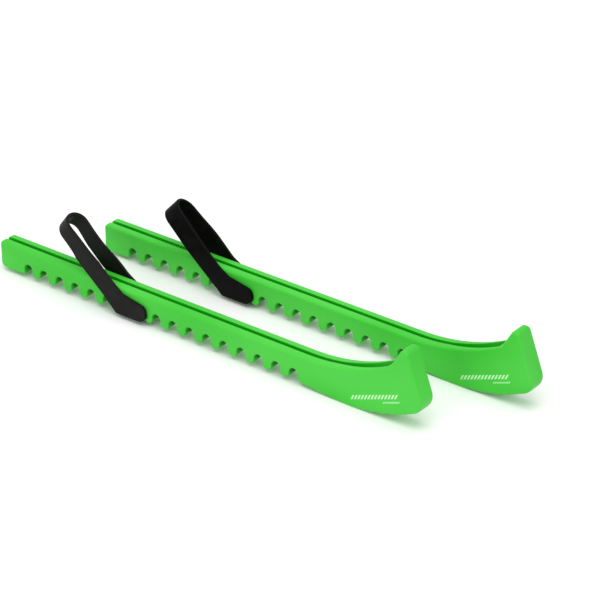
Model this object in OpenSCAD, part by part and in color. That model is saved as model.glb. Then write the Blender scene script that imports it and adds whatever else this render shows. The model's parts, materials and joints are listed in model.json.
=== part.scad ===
// A pair of skate blade guards. Each guard is one moulded channel that a skate
// blade drops into, with a row of notches along its underside and a raised toe
// stop. Each guard carries one moulded rubber strap: its foot has two rungs that
// sit in the notches, and its loop goes over the skate's blade holder.
//
// Frame: millimetres, +X towards the toes, +Y from the right guard to the left
// guard, +Z up. The origin is on the ground, in the middle of the pair.

/* [Guard] */
// Overall length, heel end to toe tip
guard_l = 328.9; // [300:0.1:350]
// Width across the sides
guard_w = 13.2; // [12:0.1:16]
// Height of the straight bar, from the tooth bottoms to the top edge
bar_h = 17.9; // [17:0.1:22]
// Solid block behind the first notch
heel_block_l = 20.8; // [16:0.1:30]
// Radius of the heel block's rear lower corner
heel_corner_r = 4; // [2:0.5:6]
// Radius of the upright heel edges, seen from above
heel_edge_r = 2; // [1:0.5:4]

/* [Blade slot] */
// Width of the slot that takes the blade
slot_w = 3; // [2.9:0.1:4.2]
// Depth of the slot below the top edge
slot_d = 7; // [5:0.5:8.5]
// Gap between the end of the slot and the root of the toe stop, along the top
slot_end_gap = 1; // [0.5:0.5:6]
// Width of the slot at its toe end, where it opens out for a toe pick
toe_slot_w = 9; // [4.4:0.1:9.4]
// Length over which the slot opens out
toe_slot_l = 37; // [20:1:45]

/* [Notches] */
// Number of notches along the underside
notch_n = 17; // [13:1:17]
// Distance from one notch to the next
notch_pitch = 13.3; // [12.6:0.1:13.3]
// Width of a notch
notch_w = 6.6; // [5.6:0.1:7]
// Height of a notch, from the tooth bottoms to the top of its arch
notch_h = 7.8; // [6:0.1:8.6]
// Radius of the block corners beside the first and last notch
block_corner_r = 1.5; // [0.5:0.5:3]

/* [Toe] */
// How far the rounded belly hangs below the tooth bottoms
belly_drop = 2.55; // [1.5:0.05:4]
// Distance from the toe tip back to the belly's lowest point
belly_to_tip = 51.6; // [44:0.1:56]
// Radius of the belly behind its lowest point
belly_back_r = 225; // [180:5:300]
// Radius of the belly in front of its lowest point
belly_front_r = 108; // [95:1:120]
// Radius of the toe tip
tip_r = 8; // [4:0.5:9]
// Height of the toe stop above the ground
stop_h = 48.9; // [42:0.1:56]
// Lean of the stop's front face back from upright
front_lean = 20.5; // [10:0.5:24]
// Lean of the stop's rear face forward from upright
rear_lean = 30; // [20:1:32]
// Length of the flat on top of the stop
stop_top_l = 0.7; // [0.5:0.1:4]
// Radius of the two corners on top of the stop
stop_corner_r = 3; // [2:0.5:4]
// Radius of the inside corner at the root of the stop
stop_root_r = 3; // [2:0.5:8]
// Radius of the top edge's upward bend
bend_r = 127; // [115:1:150]
// Distance from the heel end to the start of that bend
bend_x = 244.8; // [240:0.1:255]

/* [Strap] */
// Number of the notch that takes the first rung, counted from the heel
strap_notch = 7; // [3:1:12]
// Thickness of the loop's band
band_t = 1.8; // [1.5:0.1:3]
// Width of the loop's band
band_w = 13.3; // [10:0.1:15]
// Length of the loop, from its root to its crown
loop_l = 58; // [45:0.5:80]
// Angle of the relaxed loop above the top edge
loop_lean = 40; // [35:1:60]
// Distance from the middle of the first rung back to the loop's root
root_back = 5.1; // [4:0.1:5.5]
// Height of the loop's root above the tooth bottoms
root_h = 10; // [9.5:0.1:11.5]
// Thickness of the foot's side pads
pad_t = 2.4; // [1.6:0.1:3]
// How far the foot's underside hangs below the tooth bottoms
foot_drop = 0.6; // [0:0.1:1.2]
// How far the loop folds back towards the heel from its relaxed angle
fold_back = 12; // [5:1:22]
// How far the loop swings forward from its relaxed angle
swing_forward = 65; // [30:1:65]

/* [Pair] */
// How far the left guard stands ahead of the right one
pair_lead = 37.4; // [0:0.1:60]
// Distance between the two guards' middles
pair_gap = 57.7; // [30:0.1:90]

/* [Hidden] */
$fn = 48;

GUARD_GREEN = "#57c847";
STRAP_BLACK = "#1c1b1a";

rubber_clear = 0.15;   // gap between the strap and the guard
rung_clear = 0.2;      // gap between a rung and its notch
past = 2;              // how far a cutter runs past the surface it cuts

// Heights above the ground
tooth_z = belly_drop;
top_z = tooth_z + bar_h;
arch_z = tooth_z + notch_h;
slot_z = top_z - slot_d;
foot_z = tooth_z - foot_drop;

// The comb of notches and teeth
notch_r = notch_w / 2;
tooth_r = (notch_pitch - notch_w) / 2;
toe_block_x = heel_block_l + (notch_n - 1) * notch_pitch + notch_w;
function notch_x(i) = heel_block_l + notch_r + (i - 1) * notch_pitch;

// Centres of the toe's arcs, as [x, z]
belly_x = guard_l - belly_to_tip;
belly_back_c = [belly_x, belly_back_r];
belly_front_c = [belly_x, belly_front_r];
block_c = [toe_block_x + block_corner_r,
           inner_z(belly_back_c, belly_back_r - block_corner_r,
                   toe_block_x + block_corner_r)];
tip_c = [guard_l - tip_r,
         inner_z(belly_front_c, belly_front_r - tip_r, guard_l - tip_r)];
stop_z = stop_h - stop_corner_r;
stop_front_c = [tip_c[0] + (tip_r - stop_corner_r - (stop_z - tip_c[1]) * sin(front_lean))
                / cos(front_lean), stop_z];
stop_rear_c = [stop_front_c[0] - stop_top_l, stop_z];
bend_c = [bend_x, top_z + bend_r];

// Slope of the top edge where it meets the root of the stop. The root arc touches
// both the stop's rear face and the top edge's bend, which fixes its centre.
rear_n = [-cos(rear_lean), sin(rear_lean)];
root_slope = asin(((bend_c - stop_rear_c) * rear_n - stop_corner_r - stop_root_r)
                  / (bend_r - stop_root_r)) - rear_lean;
root_c = bend_c + (bend_r - stop_root_r) * [sin(root_slope), -cos(root_slope)];
slot_slope = root_slope - slot_end_gap / bend_r * 180 / PI;
slot_end_x = bend_x + bend_r * sin(slot_slope);

// The strap's places
pivot = [notch_x(strap_notch) - root_back, tooth_z + root_h];
loop_in = guard_w / 2 + rubber_clear;
loop_out = loop_in + band_t;
rest_a = 180 - loop_lean;

function dir(a) = [cos(a), sin(a)];
function arc(c, r, a0, a1, n = 12) = [for (i = [0:n]) c + r * dir(a0 + (a1 - a0) * i / n)];
// Height, at x, of the lower half of a circle of radius r about c
function inner_z(c, r, x) = c[1] - sqrt(r * r - (x - c[0]) * (x - c[0]));

// One corner of an outline, rounded: p is [x, z, radius], a and b its neighbours
function rounded_corner(a, p, b) =
    let (q = [p[0], p[1]],
         u = ([a[0], a[1]] - q) / norm([a[0], a[1]] - q),
         v = ([b[0], b[1]] - q) / norm([b[0], b[1]] - q),
         half = acos(u * v) / 2,
         c = q + (u + v) / norm(u + v) * p[2] / sin(half),
         s = c - u * ((c - q) * u) - q,
         e = c - v * ((c - q) * v) - q,
         a0 = atan2(-s[1], -s[0]),
         turn = atan2(s[0] * e[1] - s[1] * e[0], s * e))
    [for (i = [0:8]) c + p[2] * dir(a0 + turn * i / 8)];
function rounded(p) = [for (i = [0:len(p) - 1])
    each rounded_corner(p[(i + len(p) - 1) % len(p)], p[i], p[(i + 1) % len(p)])];

// Stands a flat [x, z] outline up, centred on the guard's middle plane
module across(width) {
    rotate([90, 0, 0]) translate([0, 0, -width / 2]) linear_extrude(width) children();
}

// ---- guard ----

// Side view of the guard before its notches are cut
module guard_side() {
    corner = tooth_z + block_corner_r;
    belly_a = atan2(block_c[1] - belly_back_c[1], block_c[0] - belly_back_c[0]);
    tip_a = atan2(tip_c[1] - belly_front_c[1], tip_c[0] - belly_front_c[0]);
    polygon(concat(
        arc([heel_corner_r, tooth_z + heel_corner_r], heel_corner_r, 180, 270, 8),
        arc([heel_block_l - block_corner_r, corner], block_corner_r, 270, 360, 6),
        [[heel_block_l, tooth_z + tooth_r], [toe_block_x, tooth_z + tooth_r]],
        arc(block_c, block_corner_r, 180, 360 + belly_a, 6),
        arc(belly_back_c, belly_back_r, belly_a, -90, 8),
        arc(belly_front_c, belly_front_r, -90, tip_a, 16),
        arc(tip_c, tip_r, tip_a, front_lean),
        arc(stop_front_c, stop_corner_r, front_lean, 90, 8),
        arc(stop_rear_c, stop_corner_r, 90, 180 - rear_lean, 8),
        arc(root_c, stop_root_r, -rear_lean, root_slope - 90, 8),
        arc(bend_c, bend_r, root_slope - 90, -90, 18),
        [[0, top_z]]));
}

// One notch: straight walls under a round arch
module notch_side(r, top) {
    translate([0, top - r]) circle(r);
    translate([-r, -past]) square([2 * r, top - r + past]);
}

// Side view of the finished guard: notches cut, teeth rounded
module comb_side() {
    difference() {
        guard_side();
        for (i = [1:notch_n]) translate([notch_x(i), 0]) notch_side(notch_r, arch_z);
    }
    for (i = [1:notch_n - 1])
        translate([notch_x(i) + notch_pitch / 2, tooth_z + tooth_r]) circle(tooth_r);
}

// Side view of the blade slot: its floor runs parallel to the top edge
module slot_side() {
    over = bend_r - past;
    polygon(concat(
        [[-past, slot_z]],
        arc(bend_c, bend_r + slot_d, -90, slot_slope - 90, 18),
        arc(bend_c, over, slot_slope - 90, -90, 18),
        [[-past, top_z + past]]));
}

// View from above: square toe, rounded upright edges at the heel
module guard_plan() {
    y = guard_w / 2 - heel_edge_r;
    polygon(concat(
        [[guard_l + past, -guard_w / 2], [guard_l + past, guard_w / 2]],
        arc([heel_edge_r, y], heel_edge_r, 90, 180, 8),
        arc([heel_edge_r, -y], heel_edge_r, 180, 270, 8)));
}

// View of the blade slot from above: it opens out towards its toe end
module slot_plan() {
    half = slot_w / 2;
    toe_half = toe_slot_w / 2;
    polygon([
        [-past, -half], [slot_end_x - toe_slot_l, -half],
        [slot_end_x, -toe_half], [guard_l, -toe_half],
        [guard_l, toe_half], [slot_end_x, toe_half],
        [slot_end_x - toe_slot_l, half], [-past, half]]);
}

module guard() {
    color(GUARD_GREEN) difference() {
        intersection() {
            across(guard_w) comb_side();
            translate([0, 0, -past]) linear_extrude(stop_h + 2 * past) guard_plan();
        }
        intersection() {
            across(guard_w) slot_side();
            linear_extrude(stop_h + past) slot_plan();
        }
    }
}

// ---- strap ----

// Side view of one pad of the foot, beside the guard
module pad_side() {
    x0 = notch_x(strap_notch) - 8.5;
    polygon(rounded([
        [x0, foot_z, 5],
        [x0 + 29, foot_z, 6],
        [x0 + 28.6, foot_z + 10.4, 4],
        [x0 + 8, foot_z + 14.6, 1],
        [x0, foot_z + 12, 1]]));
}

// Side view of one rung, lying in its notch
module rung_side(i) {
    intersection() {
        translate([notch_x(i), 0]) notch_side(notch_r - rung_clear, arch_z - rung_clear);
        translate([0, tooth_z]) square([guard_l, notch_h]);
    }
}

// Side view of the room that the loop needs as it swings, about its root
module loop_sweep() {
    reach = loop_l + past;
    half = band_w / 2 + rubber_clear;
    a0 = rest_a - swing_forward;
    a1 = rest_a + fold_back;
    circle(half + rubber_clear);
    for (a = [a0, a1]) rotate(a) translate([0, -half]) square([reach, 2 * half]);
    polygon(concat([[0, 0]], arc([0, 0], reach, a0, a1, 8)));
}

// Everything between the two faces of a slab, in the height of the guard
module slab(width) {
    across(width) translate([-past, -past]) square([guard_l, stop_h]);
}

// Two side pads joined by rungs that lie across two neighbouring notches
module strap_foot() {
    outer = 2 * (loop_in + pad_t);
    color(STRAP_BLACK) difference() {
        union() {
            difference() {
                across(outer) pad_side();
                slab(2 * loop_in);
            }
            for (i = [strap_notch, strap_notch + 1]) across(outer - pad_t) rung_side(i);
        }
        difference() {
            across(outer + past) translate(pivot) loop_sweep();
            slab(guard_w);
        }
    }
}

// Band of the loop seen along its width: two arms and a round crown
module band_edge() {
    crown_x = loop_l - loop_out;
    difference() {
        union() {
            translate([-band_w, -loop_out]) square([crown_x + band_w, 2 * loop_out]);
            translate([crown_x, 0]) circle(loop_out);
        }
        translate([-band_w - past, -loop_in]) square([crown_x + band_w + past, 2 * loop_in]);
        translate([crown_x, 0]) circle(loop_in);
    }
}

module strap_loop() {
    half = band_w / 2;
    color(STRAP_BLACK)
        translate([pivot[0], 0, pivot[1]])
        rotate([0, 180 + loop_lean, 0])
        intersection() {
            translate([0, 0, -half]) linear_extrude(band_w) band_edge();
            across(2 * loop_out + past) {
                circle(half);
                translate([0, -half]) square([loop_l + past, band_w]);
            }
        }
}

// ---- the pair ----

module right() {
    translate([-(guard_l + pair_lead) / 2, -pair_gap / 2, 0]) children();
}

module left() {
    translate([pair_lead, pair_gap, 0]) right() children();
}

module right_guard() { right() guard(); }
module left_guard() { left() guard(); }
module right_strap_foot() { right() strap_foot(); }
module right_strap_loop() { right() strap_loop(); }
module left_strap_foot() { left() strap_foot(); }
module left_strap_loop() { left() strap_loop(); }

right_guard();
left_guard();
right_strap_foot();
right_strap_loop();
left_strap_foot();
left_strap_loop();
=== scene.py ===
"""Looks for a pair of skate blade guards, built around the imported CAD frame.

Lengths are millimetres and angles are degrees unless a name says otherwise.
Each guard and each strap is made in the guard's own frame: x runs from the
heel end towards the toe, y is measured from the middle of the blade slot and
z from the ground.
"""

import json
import math

import bmesh
import bpy
import numpy as np
from mathutils import Matrix, Vector


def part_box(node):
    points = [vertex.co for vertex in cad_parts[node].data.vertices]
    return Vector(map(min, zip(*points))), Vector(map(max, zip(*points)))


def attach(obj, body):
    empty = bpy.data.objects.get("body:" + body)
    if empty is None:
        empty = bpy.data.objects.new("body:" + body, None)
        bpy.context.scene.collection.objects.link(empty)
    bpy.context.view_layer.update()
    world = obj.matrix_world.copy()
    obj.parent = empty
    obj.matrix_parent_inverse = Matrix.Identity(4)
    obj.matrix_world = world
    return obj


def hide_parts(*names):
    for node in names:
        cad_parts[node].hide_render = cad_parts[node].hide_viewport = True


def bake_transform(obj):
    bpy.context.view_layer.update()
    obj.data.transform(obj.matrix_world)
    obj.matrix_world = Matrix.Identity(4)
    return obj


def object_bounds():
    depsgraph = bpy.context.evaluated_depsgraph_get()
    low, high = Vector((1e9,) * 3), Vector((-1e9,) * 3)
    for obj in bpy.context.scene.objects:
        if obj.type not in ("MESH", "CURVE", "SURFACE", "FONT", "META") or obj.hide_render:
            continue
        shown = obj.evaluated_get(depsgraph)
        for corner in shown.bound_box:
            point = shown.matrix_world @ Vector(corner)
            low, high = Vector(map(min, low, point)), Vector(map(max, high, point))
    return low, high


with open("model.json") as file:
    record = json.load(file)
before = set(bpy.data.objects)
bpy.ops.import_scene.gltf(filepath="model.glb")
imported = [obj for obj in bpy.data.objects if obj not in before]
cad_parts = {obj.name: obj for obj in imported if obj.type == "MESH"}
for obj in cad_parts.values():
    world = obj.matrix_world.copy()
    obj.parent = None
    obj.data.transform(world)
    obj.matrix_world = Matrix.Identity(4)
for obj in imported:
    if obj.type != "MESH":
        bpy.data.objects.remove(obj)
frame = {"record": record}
cad_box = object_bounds()

MM = 0.001
SAME_PLACE = 0.001     # outline points closer than this are one point
WELD = 0.002           # mesh vertices closer than this are joined
SIDES = ("right", "left")


def node_box(name):
    """Lowest and highest corner of a CAD node, in millimetres."""
    low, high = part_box(name)
    return Vector(low) / MM, Vector(high) / MM


def joint(name):
    """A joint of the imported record."""
    for entry in frame["record"]["behaviour"]["joints"]:
        if entry["name"] == name:
            return entry
    raise KeyError(name)


def guard_origin(side):
    """World place of a guard's own origin: its heel end, on the ground under the slot."""
    low, high = node_box(side + "_guard")
    return Vector((low.x, (low.y + high.y) / 2, low.z))


# ---- driving sizes of the guard ----
# They are the CAD part's own, except that TIP_R is 1 mm larger, and that HEEL_TOP_R rounds the
# heel's top corner, which is square in CAD.

GUARD_LOW, GUARD_HIGH = node_box("right_guard")
GUARD_L, GUARD_W, STOP_H = GUARD_HIGH - GUARD_LOW
BAR_H = 17.9
HEEL_BLOCK_L = 20.8
HEEL_CORNER_R = 4.0
HEEL_TOP_R = 2.4
NOTCH_N = 17
NOTCH_PITCH = 13.3
NOTCH_W = 6.6
NOTCH_H = 7.8
BLOCK_CORNER_R = 1.5
BELLY_DROP = 2.55
BELLY_TO_TIP = 51.6
BELLY_BACK_R = 225.0
BELLY_FRONT_R = 108.0
TIP_R = 9.0
FRONT_LEAN = 20.5
REAR_LEAN = 30.0
STOP_TOP_L = 0.7
STOP_CORNER_R = 3.0
STOP_ROOT_R = 3.0
BEND_R = 127.0
BEND_X = 244.8
SLOT_W = 3.0
SLOT_D = 7.0
SLOT_END_GAP = 1.0
TOE_SLOT_W = 9.0
TOE_SLOT_L = 37.0

# Radii that round the outline over onto the two sides
TOP_FILLET = 2.0
TOE_TOP_FILLET = 1.4
COMB_FILLET = 0.8
BELLY_FILLET = 0.9
TIP_FILLET = 2.5
FRONT_FILLET = 1.6
STOP_FILLET = 2.1
LIP_R = 0.25         # rounding of the slot's mouth
SLOT_FLOOR_R = 0.5   # chamfer along both sides of the slot's floor
SLOT_END_R = 0.9     # rounding of the slot's toe end, seen from above

FILLET_STEPS = 6
LIP_ANGLES = (0, 22, 44, 65)            # how far round its lip the slot's wall has turned
SLOT_END_ANGLES = (20, 40, 60, 75, 85)  # how far round its toe end the slot has turned
SLOT_STEPS = 32
CUT_PAST = 2.0                          # how far the slot's cutter reaches above the mouth
GUARD_SHARP_ANGLE = 32.0                # corners of more than this stay crisp
SIDE_VIEW_UNIT = 100.0                  # millimetres in one unit of the side view's UV map

TOOTH_Z = BELLY_DROP
TOP_Z = TOOTH_Z + BAR_H
ARCH_Z = TOOTH_Z + NOTCH_H
NOTCH_R = NOTCH_W / 2
TOOTH_R = (NOTCH_PITCH - NOTCH_W) / 2
TOE_BLOCK_X = HEEL_BLOCK_L + (NOTCH_N - 1) * NOTCH_PITCH + NOTCH_W


def notch_x(i):
    """Middle of notch i, counted from 1 at the heel."""
    return HEEL_BLOCK_L + NOTCH_R + (i - 1) * NOTCH_PITCH


def ease(f):
    """Smooth step from 0 to 1."""
    f = min(max(f, 0.0), 1.0)
    return f * f * (3 - 2 * f)


def polar(angle):
    """Flat vector of length 1 at an angle."""
    return Vector((math.cos(math.radians(angle)), math.sin(math.radians(angle))))


def heading(v):
    """Angle of a flat vector."""
    return math.degrees(math.atan2(v[1], v[0]))


def arc(centre, radius, a0, a1, steps, fillets, hollow=False):
    """Points of an arc as (place, outward normal, fillet radius).

    The fillet radius changes evenly from fillets[0] to fillets[1]. The solid lies inside the
    arc, or outside it if hollow is true.
    """
    points = []
    for k in range(steps + 1):
        f = k / steps
        ray = polar(a0 + (a1 - a0) * f)
        fillet = fillets[0] + (fillets[1] - fillets[0]) * f
        points.append((centre + ray * radius, -ray if hollow else ray, fillet))
    return points


def inner_z(centre, radius, x):
    """Height at x of the lower half of a circle."""
    return centre.y - math.sqrt(radius ** 2 - (x - centre.x) ** 2)


# Centres of the toe's arcs, as (x, z)
BELLY_X = GUARD_L - BELLY_TO_TIP
BELLY_BACK_C = Vector((BELLY_X, BELLY_BACK_R))
BELLY_FRONT_C = Vector((BELLY_X, BELLY_FRONT_R))
BLOCK_X = TOE_BLOCK_X + BLOCK_CORNER_R
BLOCK_C = Vector((BLOCK_X, inner_z(BELLY_BACK_C, BELLY_BACK_R - BLOCK_CORNER_R, BLOCK_X)))
TIP_X = GUARD_L - TIP_R
TIP_C = Vector((TIP_X, inner_z(BELLY_FRONT_C, BELLY_FRONT_R - TIP_R, TIP_X)))
STOP_Z = STOP_H - STOP_CORNER_R
STOP_RUN = TIP_R - STOP_CORNER_R - (STOP_Z - TIP_C.y) * math.sin(math.radians(FRONT_LEAN))
STOP_FRONT_C = Vector((TIP_C.x + STOP_RUN / math.cos(math.radians(FRONT_LEAN)), STOP_Z))
STOP_REAR_C = STOP_FRONT_C - Vector((STOP_TOP_L, 0))
BEND_C = Vector((BEND_X, TOP_Z + BEND_R))
ROOT_REACH = (BEND_C - STOP_REAR_C).dot(polar(180 - REAR_LEAN)) - STOP_CORNER_R - STOP_ROOT_R
ROOT_SLOPE = math.degrees(math.asin(ROOT_REACH / (BEND_R - STOP_ROOT_R))) - REAR_LEAN
ROOT_C = BEND_C + polar(ROOT_SLOPE - 90) * (BEND_R - STOP_ROOT_R)
SLOT_SLOPE = ROOT_SLOPE - math.degrees(SLOT_END_GAP / BEND_R)
SLOT_END_X = BEND_X + BEND_R * math.sin(math.radians(SLOT_SLOPE))


def comb():
    """Arches and round teeth of the notched underside, from heel to toe."""
    fillets = (COMB_FILLET, COMB_FILLET)
    points = []
    for i in range(1, NOTCH_N + 1):
        points += arc(Vector((notch_x(i), ARCH_Z - NOTCH_R)), NOTCH_R, 180, 0, 12, fillets, True)
        if i < NOTCH_N:
            tooth = Vector((notch_x(i) + NOTCH_PITCH / 2, TOOTH_Z + TOOTH_R))
            points += arc(tooth, TOOTH_R, 180, 360, 12, fillets)
    return points


def guard_outline():
    """The guard seen from its right side, anticlockwise from the heel's lower corner."""
    belly_a = heading(BLOCK_C - BELLY_BACK_C)
    tip_a = heading(TIP_C - BELLY_FRONT_C)
    heel_low = Vector((HEEL_CORNER_R, TOOTH_Z + HEEL_CORNER_R))
    heel_top = Vector((HEEL_TOP_R, TOP_Z - HEEL_TOP_R))
    block = Vector((HEEL_BLOCK_L - BLOCK_CORNER_R, TOOTH_Z + BLOCK_CORNER_R))
    points = arc(heel_low, HEEL_CORNER_R, 180, 270, 8, (TOP_FILLET, COMB_FILLET))
    points += arc(block, BLOCK_CORNER_R, 270, 360, 6, (COMB_FILLET, COMB_FILLET))
    points += comb()
    points += arc(BLOCK_C, BLOCK_CORNER_R, 180, 360 + belly_a, 6, (COMB_FILLET, COMB_FILLET))
    points += arc(BELLY_BACK_C, BELLY_BACK_R, belly_a, -90, 14, (COMB_FILLET, BELLY_FILLET))
    points += arc(BELLY_FRONT_C, BELLY_FRONT_R, -90, tip_a, 16, (BELLY_FILLET, TIP_FILLET))
    points += arc(TIP_C, TIP_R, tip_a, FRONT_LEAN, 16, (TIP_FILLET, FRONT_FILLET))
    points += arc(STOP_FRONT_C, STOP_CORNER_R, FRONT_LEAN, 90, 8, (FRONT_FILLET, STOP_FILLET))
    points += arc(STOP_REAR_C, STOP_CORNER_R, 90, 180 - REAR_LEAN, 8, (STOP_FILLET, STOP_FILLET))
    points += arc(ROOT_C, STOP_ROOT_R, -REAR_LEAN, ROOT_SLOPE - 90, 10, (STOP_FILLET, TOE_TOP_FILLET), True)
    points += arc(BEND_C, BEND_R, ROOT_SLOPE - 90, -90, 24, (TOE_TOP_FILLET, TOP_FILLET), True)
    points += arc(heel_top, HEEL_TOP_R, 90, 180, 8, (TOP_FILLET, TOP_FILLET))
    kept = [points[0]]
    for point in points[1:]:
        if (point[0] - kept[-1][0]).length > SAME_PLACE:
            kept.append(point)
    return kept


# ---- mesh helpers ----


def mesh_object(name, vertices, faces):
    """Closed mesh object from vertices in millimetres, in the world frame."""
    mesh = bpy.data.meshes.new(name)
    mesh.from_pydata([tuple(Vector(v) * MM) for v in vertices], [], faces)
    mesh.validate()
    work = bmesh.new()
    work.from_mesh(mesh)
    bmesh.ops.recalc_face_normals(work, faces=work.faces)
    work.to_mesh(mesh)
    work.free()
    obj = bpy.data.objects.new(name, mesh)
    bpy.context.scene.collection.objects.link(obj)
    return obj


def ring_quads(rings, size):
    """Quads between neighbouring rings of size vertices."""
    faces = []
    for r in range(rings - 1):
        for k in range(size):
            a = r * size + k
            b = r * size + (k + 1) % size
            faces.append((a, b, b + size, a + size))
    return faces


def capped_rings(rings, size):
    """Quads between neighbouring rings of size vertices, with one flat cap on each end."""
    first = tuple(range(size - 1, -1, -1))
    last = tuple((rings - 1) * size + k for k in range(size))
    return ring_quads(rings, size) + [first, last]


def ladder_faces(base, count, size):
    """Faces across a long flat ring, between its upper and lower edges.

    The ring has size vertices from base on: count along the upper edge, then back along the
    lower edge, which shares its two ends with the upper one.
    """
    lower = [0] + [size - k for k in range(1, count - 1)] + [count - 1]
    faces = []
    for k in range(count - 1):
        corners = dict.fromkeys((k, k + 1, lower[k + 1], lower[k]))
        faces.append(tuple(base + corner for corner in corners))
    return faces


def bake_modifiers(obj):
    """Replaces the object's mesh by the result of its modifiers."""
    graph = bpy.context.evaluated_depsgraph_get()
    mesh = bpy.data.meshes.new_from_object(obj.evaluated_get(graph))
    obj.modifiers.clear()
    old = obj.data
    obj.data = mesh
    bpy.data.meshes.remove(old)


def combine(obj, other, operation):
    """Boolean of obj with other, which is used up."""
    cut = obj.modifiers.new("boolean", "BOOLEAN")
    cut.operation = operation
    cut.solver = "EXACT"
    cut.object = other
    bake_modifiers(obj)
    bpy.data.objects.remove(other)


def shade(obj, sharp):
    """Smooth shading that keeps flat faces flat and corners of more than sharp degrees crisp."""
    work = bmesh.new()
    work.from_mesh(obj.data)
    bmesh.ops.remove_doubles(work, verts=work.verts, dist=WELD * MM)
    bmesh.ops.recalc_face_normals(work, faces=work.faces)
    for face in work.faces:
        face.smooth = True
    for edge in work.edges:
        edge.smooth = edge.calc_face_angle(0) < math.radians(sharp)
    work.to_mesh(obj.data)
    work.free()
    normals = obj.modifiers.new("weighted normals", "WEIGHTED_NORMAL")
    normals.keep_sharp = True


# ---- guard ----


def guard_body(name, origin):
    """The guard before its slot is cut: the outline rounded over onto both sides."""
    outline = guard_outline()
    half = GUARD_W / 2
    vertices = []
    for side in (1, -1):
        steps = range(FILLET_STEPS, -1, -1) if side > 0 else range(FILLET_STEPS + 1)
        for k in steps:
            turn = polar(90 * k / FILLET_STEPS)
            for place, normal, fillet in outline:
                p = place - normal * fillet * (1 - turn.x)
                y = side * (half - fillet * (1 - turn.y))
                vertices.append(origin + Vector((p.x, y, p.y)))
    rings = 2 * (FILLET_STEPS + 1)
    return mesh_object(name, vertices, capped_rings(rings, len(outline)))


def slot_half(s):
    """Half the slot's width at a distance from the heel, before its end is rounded."""
    x = s if s < BEND_X else BEND_X + BEND_R * math.sin((s - BEND_X) / BEND_R)
    opened = max(0.0, 1 - (SLOT_END_X - x) / TOE_SLOT_L)
    return (SLOT_W + (TOE_SLOT_W - SLOT_W) * opened) / 2


def slot_profile(half, extra):
    """Half of the slot's cross-section as (half width, depth), from the floor up past the mouth."""
    floor_half = max(half - SLOT_FLOOR_R, SLOT_FLOOR_R / 10)
    points = [(floor_half + extra, SLOT_D + extra)]
    points.append((half + extra, SLOT_D - SLOT_FLOOR_R + extra))
    for angle in LIP_ANGLES:
        turn = polar(angle)
        points.append((half + extra + LIP_R * (1 - turn.x), LIP_R * (1 - turn.y)))
    flare = polar(LIP_ANGLES[-1])
    w, d = points[-1]
    points.append((w + flare.y, d - flare.x))
    points.append((w + flare.y, -CUT_PAST))
    return points


def slot_stations():
    """Places along the slot as (distance from the heel, flare of the lip, narrowing of the end)."""
    heel = []
    for angle in reversed(LIP_ANGLES):
        turn = polar(angle)
        heel.append((LIP_R * (1 - turn.y), LIP_R * (1 - turn.x), 0))
    flare = polar(LIP_ANGLES[-1])
    s, extra, _ = heel[0]
    heel.insert(0, (s - flare.x, extra + flare.y, 0))
    end = BEND_X + math.radians(SLOT_SLOPE) * BEND_R
    run = end - SLOT_END_R - BEND_X
    bend = [(BEND_X + run * k / SLOT_STEPS, 0, 0) for k in range(SLOT_STEPS + 1)]
    tip = []
    for angle in SLOT_END_ANGLES:
        turn = polar(angle)
        tip.append((end - SLOT_END_R * (1 - turn.y), 0, SLOT_END_R * (1 - turn.x)))
    return heel + bend + tip


def slot_cutter(origin):
    """Solid that cuts the blade slot with rounded lips, parallel to the top edge."""
    stations = slot_stations()
    vertices = []
    for s, extra, narrow in stations:
        half = slot_profile(slot_half(s) - narrow, extra)
        ring = [(-w, d) for w, d in reversed(half)] + half
        slope = max(0.0, s - BEND_X) / BEND_R
        for y, depth in ring:
            x = min(s, BEND_X) + (BEND_R + depth) * math.sin(slope)
            z = TOP_Z + BEND_R - (BEND_R + depth) * math.cos(slope)
            vertices.append(origin + Vector((x, y, z)))
    size = len(vertices) // len(stations)
    return mesh_object("slot_cutter", vertices, capped_rings(len(stations), size))


def add_side_view(obj, origin):
    """UV map of a guard seen from its side: u along it and v up from the ground."""
    layer = obj.data.uv_layers.new(name="side_view")
    for loop in obj.data.loops:
        place = obj.data.vertices[loop.vertex_index].co / MM - origin
        layer.data[loop.index].uv = (place.x / SIDE_VIEW_UNIT, place.z / SIDE_VIEW_UNIT)


def make_guard(side, material):
    """One guard: the rounded body with its blade slot cut, in place of the CAD guard."""
    origin = guard_origin(side)
    guard = guard_body(side + "_guard_moulding", origin)
    combine(guard, slot_cutter(origin), "DIFFERENCE")
    shade(guard, GUARD_SHARP_ANGLE)
    add_side_view(guard, origin)
    guard.data.materials.clear()
    guard.data.materials.append(material)
    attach(guard, side + "_guard")
    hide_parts(side + "_guard")


# ---- strap ----

STRAP_NOTCH = 7       # the first of the two notches that a strap's rungs sit in
RELEASE = joint("right_strap_release")["range_m"][1] / MM
BAND_T = 1.8
PAD_T = 2.4
PAD_FADE = 8.0        # height up the loop over which the pad's thickness fades into the band's
INNER_Y = 6.75        # inner face of the pads and arms, from the middle
OUTER_EDGE_R = 0.75
OUTER_EDGE_STEPS = 4
INNER_EDGE_R = 0.45
INNER_EDGE_STEPS = 3
RUNG_CLEAR = 0.2      # gap between a rung and its notch
RUNG_CORNER_R = 0.8
STRAP_SHARP_ANGLE = 40.0

# Distances along the loop, from its root
PAD_REACH = 40.0      # how far the ribbon runs on below the root, to hold the pad
ARM_START = 15.0      # where the arm leaves the pad's outline
TWIST_START = 6.0     # where the arm's own turn begins, and the length it builds up over
TWIST_RUN = 24.0
SHIFT_START = -8.0    # where the arm's shift begins, and the length it builds up over
SHIFT_RUN = 18.0
TAPER_END = 10.0      # how far below the crown the band has its crown width

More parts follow.
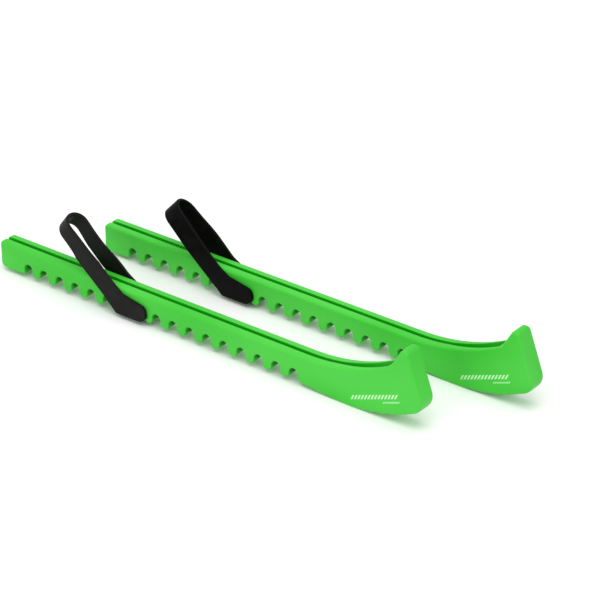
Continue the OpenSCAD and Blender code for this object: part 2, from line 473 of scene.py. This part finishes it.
# Outline of a pad as (x, z, corner radius), from its heel edge and its bottom. Both edges start at
# the tip, at the pad's lower toe end, and run back to the start of the arm.
PAD_BACK = 8.5        # from the middle of the strap's first notch back to the pad's heel edge
PAD_BOTTOM = node_box("right_strap_foot")[0].z - GUARD_LOW.z
PAD_TIP = (27.1, 1.9, 0.0)
PAD_UPPER = ((29.0, 4.4, 4.0), (28.4, 11.0, 4.5), (9.5, 14.7, 7.0))
PAD_LOWER = ((24.0, 0.0, 5.0), (4.9, 0.0, 2.2), (-0.6, 5.3, 3.0))

PATH_STEP = 0.25      # spacing of the points along the ribbon's path
SMOOTH_POINTS = 17    # how many of them are averaged to smooth it
PAD_POINTS = 72       # points along each edge of a pad
ARM_POINTS = 96       # points along each edge from pad to pad
SIDE_FADE = 3.0       # distance from the middle at which near has mostly turned into far
PUSH_GAP = 0.1        # clearance to the guard, its softening, and the height it fades over
PUSH_SOFT = 0.25
PUSH_FADE = 3.0

# Relaxed shape of each loop. lean: angle above the guard; length: root to crown;
# root_w, crown_w: width of the band; set_back: shift of both arms across the loop, towards the
# toe if above 0; skew: how much further the near arm is shifted, and the far arm less;
# sway, twist: turn of the band about the loop's own axis, half way and at the crown;
# far_turn: extra turn of the far arm's face; near, far: distance of each arm from the middle at
# the heights BOW_AT; crown: radius of the crown, and its shift towards the far side.
BOW_AT = (20.0, 30.0, 42.0)
LOOPS = {
    "right": dict(lean=39.4, length=59.0, root_w=14.0, crown_w=12.2, set_back=-0.68, skew=0.62,
                  sway=3.4, twist=-5.0, far_turn=0.0,
                  near=(7.35, 7.5, 6.6), far=(8.1, 7.2, 7.7), crown=(7.4, 1.15)),
    "left": dict(lean=40.2, length=57.1, root_w=14.0, crown_w=12.9, set_back=-1.58, skew=0.72,
                 sway=-0.8, twist=14.5, far_turn=8.0,
                 near=(8.0, 8.3, 8.1), far=(8.5, 8.7, 8.3), crown=(8.0, 0.1)),
}


def rounded(corners, steps=8):
    """Rounds each inner corner of an open line of (x, z, radius) with an arc."""
    points = [Vector(corners[0][:2])]
    for before, corner, after in zip(corners, corners[1:], corners[2:]):
        p = Vector(corner[:2])
        radius = corner[2]
        a = (Vector(before[:2]) - p).normalized()
        b = (Vector(after[:2]) - p).normalized()
        half = a.angle(b) / 2
        centre = p + (a + b).normalized() * radius / math.sin(half)
        start = p + a * radius / math.tan(half) - centre
        sweep = math.degrees(start.angle_signed(p + b * radius / math.tan(half) - centre))
        for k in range(steps + 1):
            points.append(centre + polar(heading(start) - sweep * k / steps) * radius)
    points.append(Vector(corners[-1][:2]))
    return points


def distances(line):
    """Distance of each point of a line from its start, along the line."""
    return np.r_[0, np.cumsum(np.linalg.norm(np.diff(line, axis=0), axis=1))]


def unit_rows(rows):
    """The rows, each scaled to length 1."""
    return rows / np.linalg.norm(rows, axis=1)[:, None]


def resample(points, count):
    """Evenly spaced points along a line."""
    line = np.array([tuple(p) for p in points])
    run = distances(line)
    at = np.linspace(0, run[-1], count)
    return np.c_[np.interp(at, run, line[:, 0]), np.interp(at, run, line[:, 1])]


def smoothed(values, window):
    """Moving average of the rows, with the ends held."""
    kernel = np.ones(window) / window
    padded = np.pad(values, ((window // 2, window // 2), (0, 0)), mode="edge")
    return np.stack([np.convolve(column, kernel, "valid") for column in padded.T], 1)


def smooth_curve(at, known, values):
    """Values of a smooth curve through the known values, level at the first two and at the last."""
    known = np.array(known, float)
    values = np.array(values, float)
    slope = np.gradient(values, known)
    slope[:2] = 0
    slope[-1] = 0
    k = np.clip(np.searchsorted(known, at) - 1, 0, len(known) - 2)
    gap = known[k + 1] - known[k]
    f = (at - known[k]) / gap
    return (
        values[k] * (2 * f ** 3 - 3 * f ** 2 + 1)
        + values[k + 1] * (3 * f ** 2 - 2 * f ** 3)
        + slope[k] * gap * (f ** 3 - 2 * f ** 2 + f)
        + slope[k + 1] * gap * (f ** 3 - f ** 2)
    )


def outline_normals(outline):
    """Outward normals of a closed outline that runs clockwise."""
    ahead = np.roll(outline, -1, axis=0) - outline
    behind = outline - np.roll(outline, 1, axis=0)
    way = unit_rows(unit_rows(ahead) + unit_rows(behind))
    return np.c_[-way[:, 1], way[:, 0]]


def edge_levels():
    """Layers that round the band's edges, from its outer face to its inner face.

    Each is (how far in from the outline, 1 for the outer or -1 for the inner face, depth below it).
    """
    levels = []
    for k in range(OUTER_EDGE_STEPS + 1):
        turn = polar(90 * k / OUTER_EDGE_STEPS)
        levels.append((OUTER_EDGE_R * (1 - turn.y), 1, OUTER_EDGE_R * (1 - turn.x)))
    for k in range(INNER_EDGE_STEPS + 1):
        turn = polar(90 * k / INNER_EDGE_STEPS)
        levels.append((INNER_EDGE_R * (1 - turn.x), -1, INNER_EDGE_R * (1 - turn.y)))
    return levels


class Strap:
    """One rubber strap: a ribbon that runs up from one pad, round the crown and down to the other.

    origin is the guard's origin in the world, and root the axis of the strap's swing in the guard's
    frame. In the side view, along points up the loop and across points square to it, towards the
    toe. near is the guard's right-hand side, where y is below 0, and far its left-hand side.
    """

    def __init__(self, side):
        self.shape = LOOPS[side]
        self.origin = guard_origin(side)
        self.root = Vector(joint(side + "_strap_swing")["pos_m"]) / MM - self.origin
        self.root.y = 0
        lean = self.shape["lean"]
        self.along = Vector((-polar(lean).x, 0, polar(lean).y))
        self.across = Vector((polar(lean).y, 0, polar(lean).x))
        self.build_path()

    def to_ribbon(self, x, z):
        """Side-view place (x, z) as (distance along the loop, distance across it)."""
        p = Vector((x, 0, z)) - self.root
        return p.dot(self.along), p.dot(self.across)

    def build_path(self):
        """Middle line of the ribbon, as tables of its places (height up the loop, y), of the distance
        along it from the near root, and of its direction; far_root is that distance at the far root.
        Smoothing shortens both ends by about 0.5 mm, which moves the pads up the loop by as much.
        """
        radius, shift = self.shape["crown"]
        top = self.shape["length"] - radius
        pad_y = INNER_Y + PAD_T / 2
        known = (-PAD_REACH, 0) + BOW_AT + (top,)
        up = np.arange(-PAD_REACH, top, PATH_STEP)
        near = -smooth_curve(up, known, (pad_y, pad_y) + self.shape["near"] + (radius - shift,))
        far = smooth_curve(up, known, (pad_y, pad_y) + self.shape["far"] + (radius + shift,))
        turn = np.radians(np.linspace(0, 180, int(math.pi * radius / PATH_STEP)))
        line = np.r_[
            np.c_[up, near],
            np.c_[top + radius * np.sin(turn), shift - radius * np.cos(turn)],
            np.c_[up, far][::-1],
        ]
        self.line = smoothed(line, SMOOTH_POINTS)
        self.run = distances(self.line) - PAD_REACH
        self.tangent = unit_rows(np.gradient(self.line, self.run, axis=0))
        self.far_root = self.run[-1] - PAD_REACH

    def height(self, s):
        """Height up the loop at a distance along the ribbon."""
        return np.interp(s, self.run, self.line[:, 0])

    def place(self, s, across, out):
        """Ribbon place to the world: s along it, across its width, out from its middle layer."""
        shape = self.shape
        u = self.height(s)
        y = np.interp(s, self.run, self.line[:, 1])
        tangent_u = np.interp(s, self.run, self.tangent[:, 0])
        tangent_y = np.interp(s, self.run, self.tangent[:, 1])
        f = min(max(u / shape["length"], 0), 1)
        twist = shape["sway"] * 4 * f * (1 - f) + shape["twist"] * ease(f)
        turn = polar(twist)
        far = (1 + math.tanh(y / SIDE_FADE)) / 2
        own = polar((twist + shape["far_turn"] * far) * ease((u - TWIST_START) / TWIST_RUN))
        side = Vector((0, 1, 0))
        across_dir = self.across * own.x + side * own.y
        side_dir = side * turn.x - self.across * turn.y
        out_dir = self.along * tangent_y - side_dir * tangent_u
        lead = shape["set_back"] + shape["skew"] * (1 - 2 * far)
        shift = lead * ease((u - SHIFT_START) / SHIFT_RUN)
        middle = self.root + self.along * u + self.across * shift + side_dir * y
        point = middle + across_dir * across
        point.y += self.push(point - out_dir * BAND_T / 2, y)
        return self.origin + point + out_dir * out

    @staticmethod
    def push(inner, y):
        """Sideways shift of an inner-face point, so that it clears the guard as the strap slides down."""
        short = GUARD_W / 2 + PUSH_GAP - math.copysign(inner.y, inner.y * y)
        low = 1 - ease((inner.z - TOP_Z - RELEASE) / PUSH_FADE)
        return math.copysign(low * (short + math.hypot(short, PUSH_SOFT)) / 2, y)

    def pad_edge(self, corners, half):
        """One edge of the near pad, from its tip over the corners to the start of the arm."""
        heel_x = notch_x(STRAP_NOTCH) - PAD_BACK
        line = []
        for x, z, radius in (PAD_TIP,) + corners:
            line.append(self.to_ribbon(heel_x + x, PAD_BOTTOM + z) + (radius,))
        line.append((ARM_START, half))
        return resample(rounded(line), PAD_POINTS)

    def half_width(self, s):
        """Half the band's width at a distance along the ribbon."""
        root_w = self.shape["root_w"]
        taper = self.shape["length"] - TAPER_END - ARM_START
        f = ease((self.height(s) - ARM_START) / taper)
        return (root_w + (self.shape["crown_w"] - root_w) * f) / 2

    def whole_edge(self, sign, corners):
        """Upper (1) or lower (-1) edge of the whole unrolled ribbon, from pad to pad."""
        pad = self.pad_edge(corners, sign * self.shape["root_w"] / 2)
        far_pad = np.c_[self.far_root - pad[:, 0], pad[:, 1]][::-1]
        s = np.linspace(ARM_START, self.far_root - ARM_START, ARM_POINTS)[1:-1]
        half = np.array([self.half_width(at) for at in s])
        return np.r_[pad, np.c_[s, sign * half], far_pad]

    def thickness(self, s):
        """Thickness of the ribbon at a distance along it: thicker at the pads."""
        pad = 1 - min(max(self.height(s) / PAD_FADE, 0), 1)
        return BAND_T + (PAD_T - BAND_T) * pad

    def ribbon(self, name):
        """Closed mesh of the ribbon with its long edges rounded."""
        upper = self.whole_edge(1, PAD_UPPER)
        lower = self.whole_edge(-1, PAD_LOWER)
        outline = np.r_[upper, lower[1:-1][::-1]]
        normals = outline_normals(outline)
        levels = edge_levels()
        vertices = []
        for inset, face, drop in levels:
            for (s, v), (ns, nv) in zip(outline, normals):
                out = face * (self.thickness(s) / 2 - drop)
                vertices.append(self.place(s - ns * inset, v - nv * inset, out))
        size = len(outline)
        faces = ring_quads(len(levels), size)
        faces += ladder_faces(0, len(upper), size)
        faces += ladder_faces((len(levels) - 1) * size, len(upper), size)
        return mesh_object(name, vertices, faces)

    def rung(self, i):
        """Bar across the guard in notch i: round on top, with its lower edges eased."""
        radius = NOTCH_R - RUNG_CLEAR
        centre = Vector((notch_x(i), ARCH_Z - NOTCH_R))
        ring = [p for p, _, _ in arc(centre, radius, 0, 180, 14, (0, 0))]
        for sign, a0 in ((-1, 180), (1, 270)):
            corner = Vector((centre.x + sign * (radius - RUNG_CORNER_R), TOOTH_Z + RUNG_CORNER_R))
            ring += [p for p, _, _ in arc(corner, RUNG_CORNER_R, a0, a0 + 90, 4, (0, 0))]
        reach = INNER_Y + PAD_T / 2
        vertices = []
        for y in (reach, -reach):
            vertices += [self.origin + Vector((p.x, y, p.y)) for p in ring]
        return mesh_object("rung", vertices, capped_rings(2, len(ring)))


def make_strap(side):
    """One strap: ribbon and rungs as one moulding, in place of the CAD foot and loop."""
    strap = Strap(side)
    obj = strap.ribbon(side + "_strap_moulding")
    for notch in (STRAP_NOTCH, STRAP_NOTCH + 1):
        combine(obj, strap.rung(notch), "UNION")
    shade(obj, STRAP_SHARP_ANGLE)
    bake_modifiers(obj)
    obj.data.materials.clear()
    obj.data.materials.append(black_material(side + "_strap_black", STRAP_PAINTED_LIGHT[side]))
    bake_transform(obj)
    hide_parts(side + "_strap_foot", side + "_strap_loop")


# ---- materials ----


class Look:
    """A node material under construction."""

    def __init__(self, name):
        self.material = bpy.data.materials.new(name)
        self.material.use_nodes = True
        self.tree = self.material.node_tree
        self.shader = self.tree.nodes["Principled BSDF"]

    def node(self, kind, *inputs, **settings):
        """A new node; each input is a value, a socket to link, or None to leave alone."""
        node = self.tree.nodes.new("ShaderNode" + kind)
        for key, value in settings.items():
            setattr(node, key, value)
        for slot, value in zip(node.inputs, inputs):
            self.feed(slot, value)
        return node

    def feed(self, slot, value):
        """Links a socket to an input, or sets the input to a value."""
        if isinstance(value, bpy.types.NodeSocket):
            self.tree.links.new(value, slot)
        elif value is not None:
            slot.default_value = value

    def set(self, **inputs):
        """Inputs of the principled shader, by name with underscores for spaces."""
        for key, value in inputs.items():
            self.feed(self.shader.inputs[key.replace("_", " ")], value)

    def math(self, operation, *values):
        """Result of a math node."""
        return self.node("Math", *values, operation=operation).outputs[0]

    def step(self, value, low, high):
        """Smooth step from 0 at low to 1 at high."""
        return self.node("MapRange", value, low, high, interpolation_type="SMOOTHSTEP").outputs[0]

    def mix(self, factor, a, b):
        """Colour a where factor is 0, and b where it is 1."""
        node = self.node("Mix", data_type="RGBA")
        self.feed(node.inputs[0], factor)
        self.feed(node.inputs[6], a)
        self.feed(node.inputs[7], b)
        return node.outputs[2]

    def place(self, stretch=(1, 1, 1)):
        """Rest position in millimetres, scaled by stretch."""
        where = self.node("TexCoord").outputs["Object"]
        scale = tuple(f / MM for f in stretch)
        return self.node("VectorMath", where, scale, operation="MULTIPLY").outputs[0]

    def noise(self, size, detail=2.0, stretch=(1, 1, 1)):
        """Noise from 0 to 1 whose blobs are about size millimetres across."""
        node = self.node("TexNoise", self.place(stretch), None, 1 / size, detail)
        return node.outputs[0]

    def bump(self, height, depth, normal=None):
        """Normal of a surface with relief depth millimetres deep."""
        node = self.node("Bump")
        self.feed(node.inputs["Height"], height)
        self.feed(node.inputs["Distance"], depth * MM)
        self.feed(node.inputs["Strength"], 1.0)
        self.feed(node.inputs["Normal"], normal)
        return node.outputs[0]

    def openness(self, reach):
        """1 on open surfaces, towards 0 inside slots and notches up to reach millimetres away."""
        node = self.node("AmbientOcclusion", samples=8, only_local=True)
        self.feed(node.inputs["Distance"], reach * MM)
        return node.outputs["AO"]

    def edges(self, radius):
        """About 0 on flat faces and up to 1 on corners sharper than radius millimetres."""
        bevel = self.node("Bevel", radius * MM, samples=4).outputs[0]
        flat = self.node("NewGeometry").outputs["Normal"]
        dot = self.node("VectorMath", bevel, flat, operation="DOT_PRODUCT").outputs["Value"]
        return self.step(dot, 0.995, 0.9)


# Generic print on each side of the toe, in place of lettering: two rows of plain slanted strokes.
# Each row is (x, z, length, height, number of strokes), from its lower corner on the heel's side.
PRINT_SLOPE = 20.0        # angle of the rows above the ground
PRINT_SLANT = 0.9         # how far a stroke leans along its row, as a part of its height
PRINT_ROWS = ((279.3, 4.9, 35.5, 2.8, 14), (302.4, 10.4, 12.6, 1.2, 9))
PRINT_STROKE = 0.6        # part of the pitch that a stroke fills
PRINT_EDGE = 0.12         # softness of a row's border, in millimetres
PRINT_STROKE_EDGE = 0.06  # softness of a stroke's end, as a part of the pitch


def print_mask(look):
    """1 where the toe print covers a guard's side."""
    side_view = look.node("UVMap", uv_map="side_view").outputs[0]
    apart = look.node("SeparateXYZ", side_view)
    x = look.math("MULTIPLY", apart.outputs[0], SIDE_VIEW_UNIT)
    z = look.math("MULTIPLY", apart.outputs[1], SIDE_VIEW_UNIT)
    turn = polar(PRINT_SLOPE)
    total = None
    for x0, z0, length, height, strokes in PRINT_ROWS:
        dx = look.math("SUBTRACT", x, x0)
        dz = look.math("SUBTRACT", z, z0)
        up = look.math("SUBTRACT", look.math("MULTIPLY", dz, turn.x), look.math("MULTIPLY", dx, turn.y))
        run = look.math("ADD", look.math("MULTIPLY", dx, turn.x), look.math("MULTIPLY", dz, turn.y))
        run = look.math("SUBTRACT", run, look.math("MULTIPLY", up, PRINT_SLANT))
        mask = 1.0
        for value, size in ((run, length), (up, height)):
            mask = look.math("MULTIPLY", mask, look.step(value, 0.0, PRINT_EDGE))
            mask = look.math("MULTIPLY", mask, look.step(value, size, size - PRINT_EDGE))
        along = look.math("FRACT", look.math("MULTIPLY", run, strokes / length))
        stroke = look.step(along, PRINT_STROKE, PRINT_STROKE - PRINT_STROKE_EDGE)
        mask = look.math("MULTIPLY", mask, stroke)
        total = mask if total is None else look.math("MAXIMUM", total, mask)
    normal = look.node("SeparateXYZ", look.node("TexCoord").outputs["Normal"]).outputs[1]
    faces_side = look.step(look.math("ABSOLUTE", normal), 0.9, 0.98)
    return look.math("MULTIPLY", total, faces_side)


# Colours as linear red, green, blue and alpha
GREEN_BASE = (0.036, 0.50, 0.024, 1)
GREEN_PALE = (0.058, 0.56, 0.042, 1)
# The next two colours are painted shade, for the inside of the blade slot and of the notches.
SLOT_PAINTED_SHADE = (0.0006, 0.44, 0.0006, 1)
NOTCH_PAINTED_SHADE = (0.0010, 0.075, 0.0008, 1)
# Pale green of edge wear, which also serves as a painted highlight along the edges.
GREEN_WEAR_AND_HIGHLIGHT = (0.20, 0.60, 0.16, 1)
GREEN_SOILED = (0.045, 0.36, 0.035, 1)
PRINT_WHITE = (0.56, 0.90, 0.52, 1)

SOILED_BELOW = (4.2, 2.0)     # heights between which soil sets in
NOTCH_TO_SLOT = (11.5, 12.5)  # heights that part the painted shade of the notches from that of the slot


def green_material():
    """Satin moulded elastomer: faint mottling, painted shade in the slot and notches, rubbed edges with a
    painted highlight, and a print.
    """
    look = Look("guard_green")
    colour = look.mix(look.step(look.noise(38, 1.0, (0.4, 1, 1)), 0.35, 0.68), GREEN_BASE, GREEN_PALE)
    grime = look.step(look.noise(2.4, 5.0, (0.35, 1, 1)), 0.60, 0.74)
    height = look.node("SeparateXYZ", look.place()).outputs[2]
    soil = look.math("MULTIPLY", grime, look.step(height, *SOILED_BELOW))
    colour = look.mix(look.math("MULTIPLY", soil, 0.45), colour, GREEN_SOILED)
    # Edge wear that is also a painted highlight: corners are lightened in patches.
    wear_and_highlight = look.math("MULTIPLY", look.edges(0.7), look.step(look.noise(1.7, 4.0), 0.42, 0.62))
    colour = look.mix(look.math("MULTIPLY", wear_and_highlight, 0.35), colour, GREEN_WEAR_AND_HIGHLIGHT)
    colour = look.mix(look.math("MULTIPLY", print_mask(look), 0.85), colour, PRINT_WHITE)
    # Painted shade: where the surface is enclosed, the colour turns deep green, darker in the notches than
    # in the slot.
    open_air = look.openness(9.0)
    painted_shade = look.mix(look.step(height, *NOTCH_TO_SLOT), NOTCH_PAINTED_SHADE, SLOT_PAINTED_SHADE)
    colour = look.mix(look.step(open_air, 0.76, 0.36), colour, painted_shade)
    fine = look.noise(0.22, 2.0)
    wavy = look.noise(9.0, 1.0)
    normal = look.bump(fine, 0.012, look.bump(wavy, 0.05))
    patchy = look.math("MULTIPLY", look.noise(5.0, 3.0), 0.12)
    look.set(Base_Color=colour, Roughness=look.math("ADD", 0.36, patchy), Normal=normal)
    # The shine is dimmed in the slot and notches too, which is also painted shade.
    shine = look.math("MULTIPLY", look.step(open_air, 0.4, 0.9), 0.32)
    look.set(Specular_IOR_Level=shine, Subsurface_Weight=0.08, Subsurface_Scale=0.6 * MM)
    look.set(Subsurface_Radius=(0.3, 1.0, 0.2))
    return look.material


# How much painted light lightens each strap, from 0 to 1: it raises the base colour, the pale film and the
# sheen, so that the right strap looks more lit
STRAP_PAINTED_LIGHT = {"right": 1.0, "left": 0.25}
RUBBER_TINT = (1.0, 0.92, 0.85)
# Tint of the pale colour, used for the dust and for the painted highlight on the edges.
DUST_AND_HIGHLIGHT_TINT = (1.0, 0.97, 0.92)


def black_material(name, painted_light):
    """Matt black rubber with fine grain and a little dust; the edges get a painted highlight, and the given
    amount of painted light makes the whole strap lighter.
    """
    look = Look(name)
    # Painted light: the base colour, the pale film and the sheen all grow with the given amount, so that
    # one strap looks more lit than the other.
    base = tuple(0.0016 + 0.0034 * painted_light * f for f in RUBBER_TINT) + (1,)
    pale = tuple((0.025 + 0.004 * painted_light) * f for f in DUST_AND_HIGHLIGHT_TINT) + (1,)
    cloud = look.step(look.noise(7.0, 4.0), 0.42, 0.70)
    specks = look.step(look.noise(0.35, 2.0), 0.64, 0.74)
    dust_and_highlight = look.math("MULTIPLY", look.math("MAXIMUM", cloud, specks), 0.06 + 0.2 * painted_light)
    # Painted highlight: a pale line along every edge, the same on both straps.
    dust_and_highlight = look.math("MAXIMUM", dust_and_highlight, look.math("MULTIPLY", look.edges(0.8), 0.9))
    colour = look.mix(dust_and_highlight, base, pale)
    grain = look.noise(0.3, 3.0)
    scratch = look.noise(0.6, 2.0, (0.25, 1, 1))
    normal = look.bump(grain, 0.02, look.bump(scratch, 0.015))
    look.set(Base_Color=colour, Roughness=look.math("ADD", 0.46, look.math("MULTIPLY", cloud, 0.14)))
    look.set(Specular_IOR_Level=0.03 + 0.08 * painted_light, Normal=normal)
    return look.material


# ---- floor, light and camera ----

FLOOR_SIZE = 20.0        # metres
WORLD_STRENGTH = 0.77

# Camera: its direction of view, its lens, how far it is from the middle of the object's box, and
# how far it is shifted to its own right and up from there
AZIMUTH = 37.757
ELEVATION = 28.657
LENS_MM = 155.04
SENSOR_MM = 36.0
CAMERA_DISTANCE = 1568.441
CAMERA_SHIFT = (24.931, -3.718)


def add_floor():
    """Plain pale floor under the object."""
    bpy.ops.mesh.primitive_plane_add(size=FLOOR_SIZE)
    floor = bpy.context.object
    floor.name = "floor"
    look = Look("pale_floor")
    look.set(Base_Color=(0.93, 0.93, 0.93, 1), Roughness=1.0, Specular_IOR_Level=0.0)
    floor.data.materials.append(look.material)


def add_area(name, place, size, watts):
    """Square lamp that faces the middle of the pair, with its place and size in metres."""
    data = bpy.data.lights.new(name, "AREA")
    data.size = size
    data.energy = watts
    lamp = bpy.data.objects.new(name, data)
    bpy.context.scene.collection.objects.link(lamp)
    lamp.location = place
    lamp.rotation_euler = (-Vector(place)).to_track_quat("-Z", "Y").to_euler()


def add_lights():
    """White surroundings, a large soft lamp overhead and a small one from the front."""
    world = bpy.data.worlds.new("studio")
    world.use_nodes = True
    background = world.node_tree.nodes["Background"]
    background.inputs["Color"].default_value = (1, 1, 1, 1)
    background.inputs["Strength"].default_value = WORLD_STRENGTH
    bpy.context.scene.world = world
    add_area("overhead", (0.2, -0.3, 1.8), 1.6, 19)
    add_area("key", (0.1, -1.9, 1.0), 0.5, 5.5)


def add_camera():
    """Camera that looks at the pair from its front right, from above."""
    flat = polar(AZIMUTH)
    tilt = polar(ELEVATION)
    right = Vector((flat.x, flat.y, 0))
    forward = Vector((-flat.y * tilt.x, flat.x * tilt.x, -tilt.y))
    up = right.cross(forward)
    middle = (Vector(cad_box[0]) + Vector(cad_box[1])) / 2
    shift = right * CAMERA_SHIFT[0] + up * CAMERA_SHIFT[1]
    data = bpy.data.cameras.new("camera")
    data.lens = LENS_MM
    data.sensor_width = SENSOR_MM
    data.clip_end = 30
    camera = bpy.data.objects.new("camera", data)
    bpy.context.scene.collection.objects.link(camera)
    view = Matrix((right, up, -forward)).transposed().to_4x4()
    view.translation = middle + (shift - forward * CAMERA_DISTANCE) * MM
    camera.matrix_world = view
    bpy.context.scene.camera = camera


# ---- the whole scene ----

green = green_material()
for side in SIDES:
    make_guard(side, green)
    make_strap(side)
add_floor()
add_lights()
add_camera()
bpy.context.scene.view_settings.view_transform = "Standard"
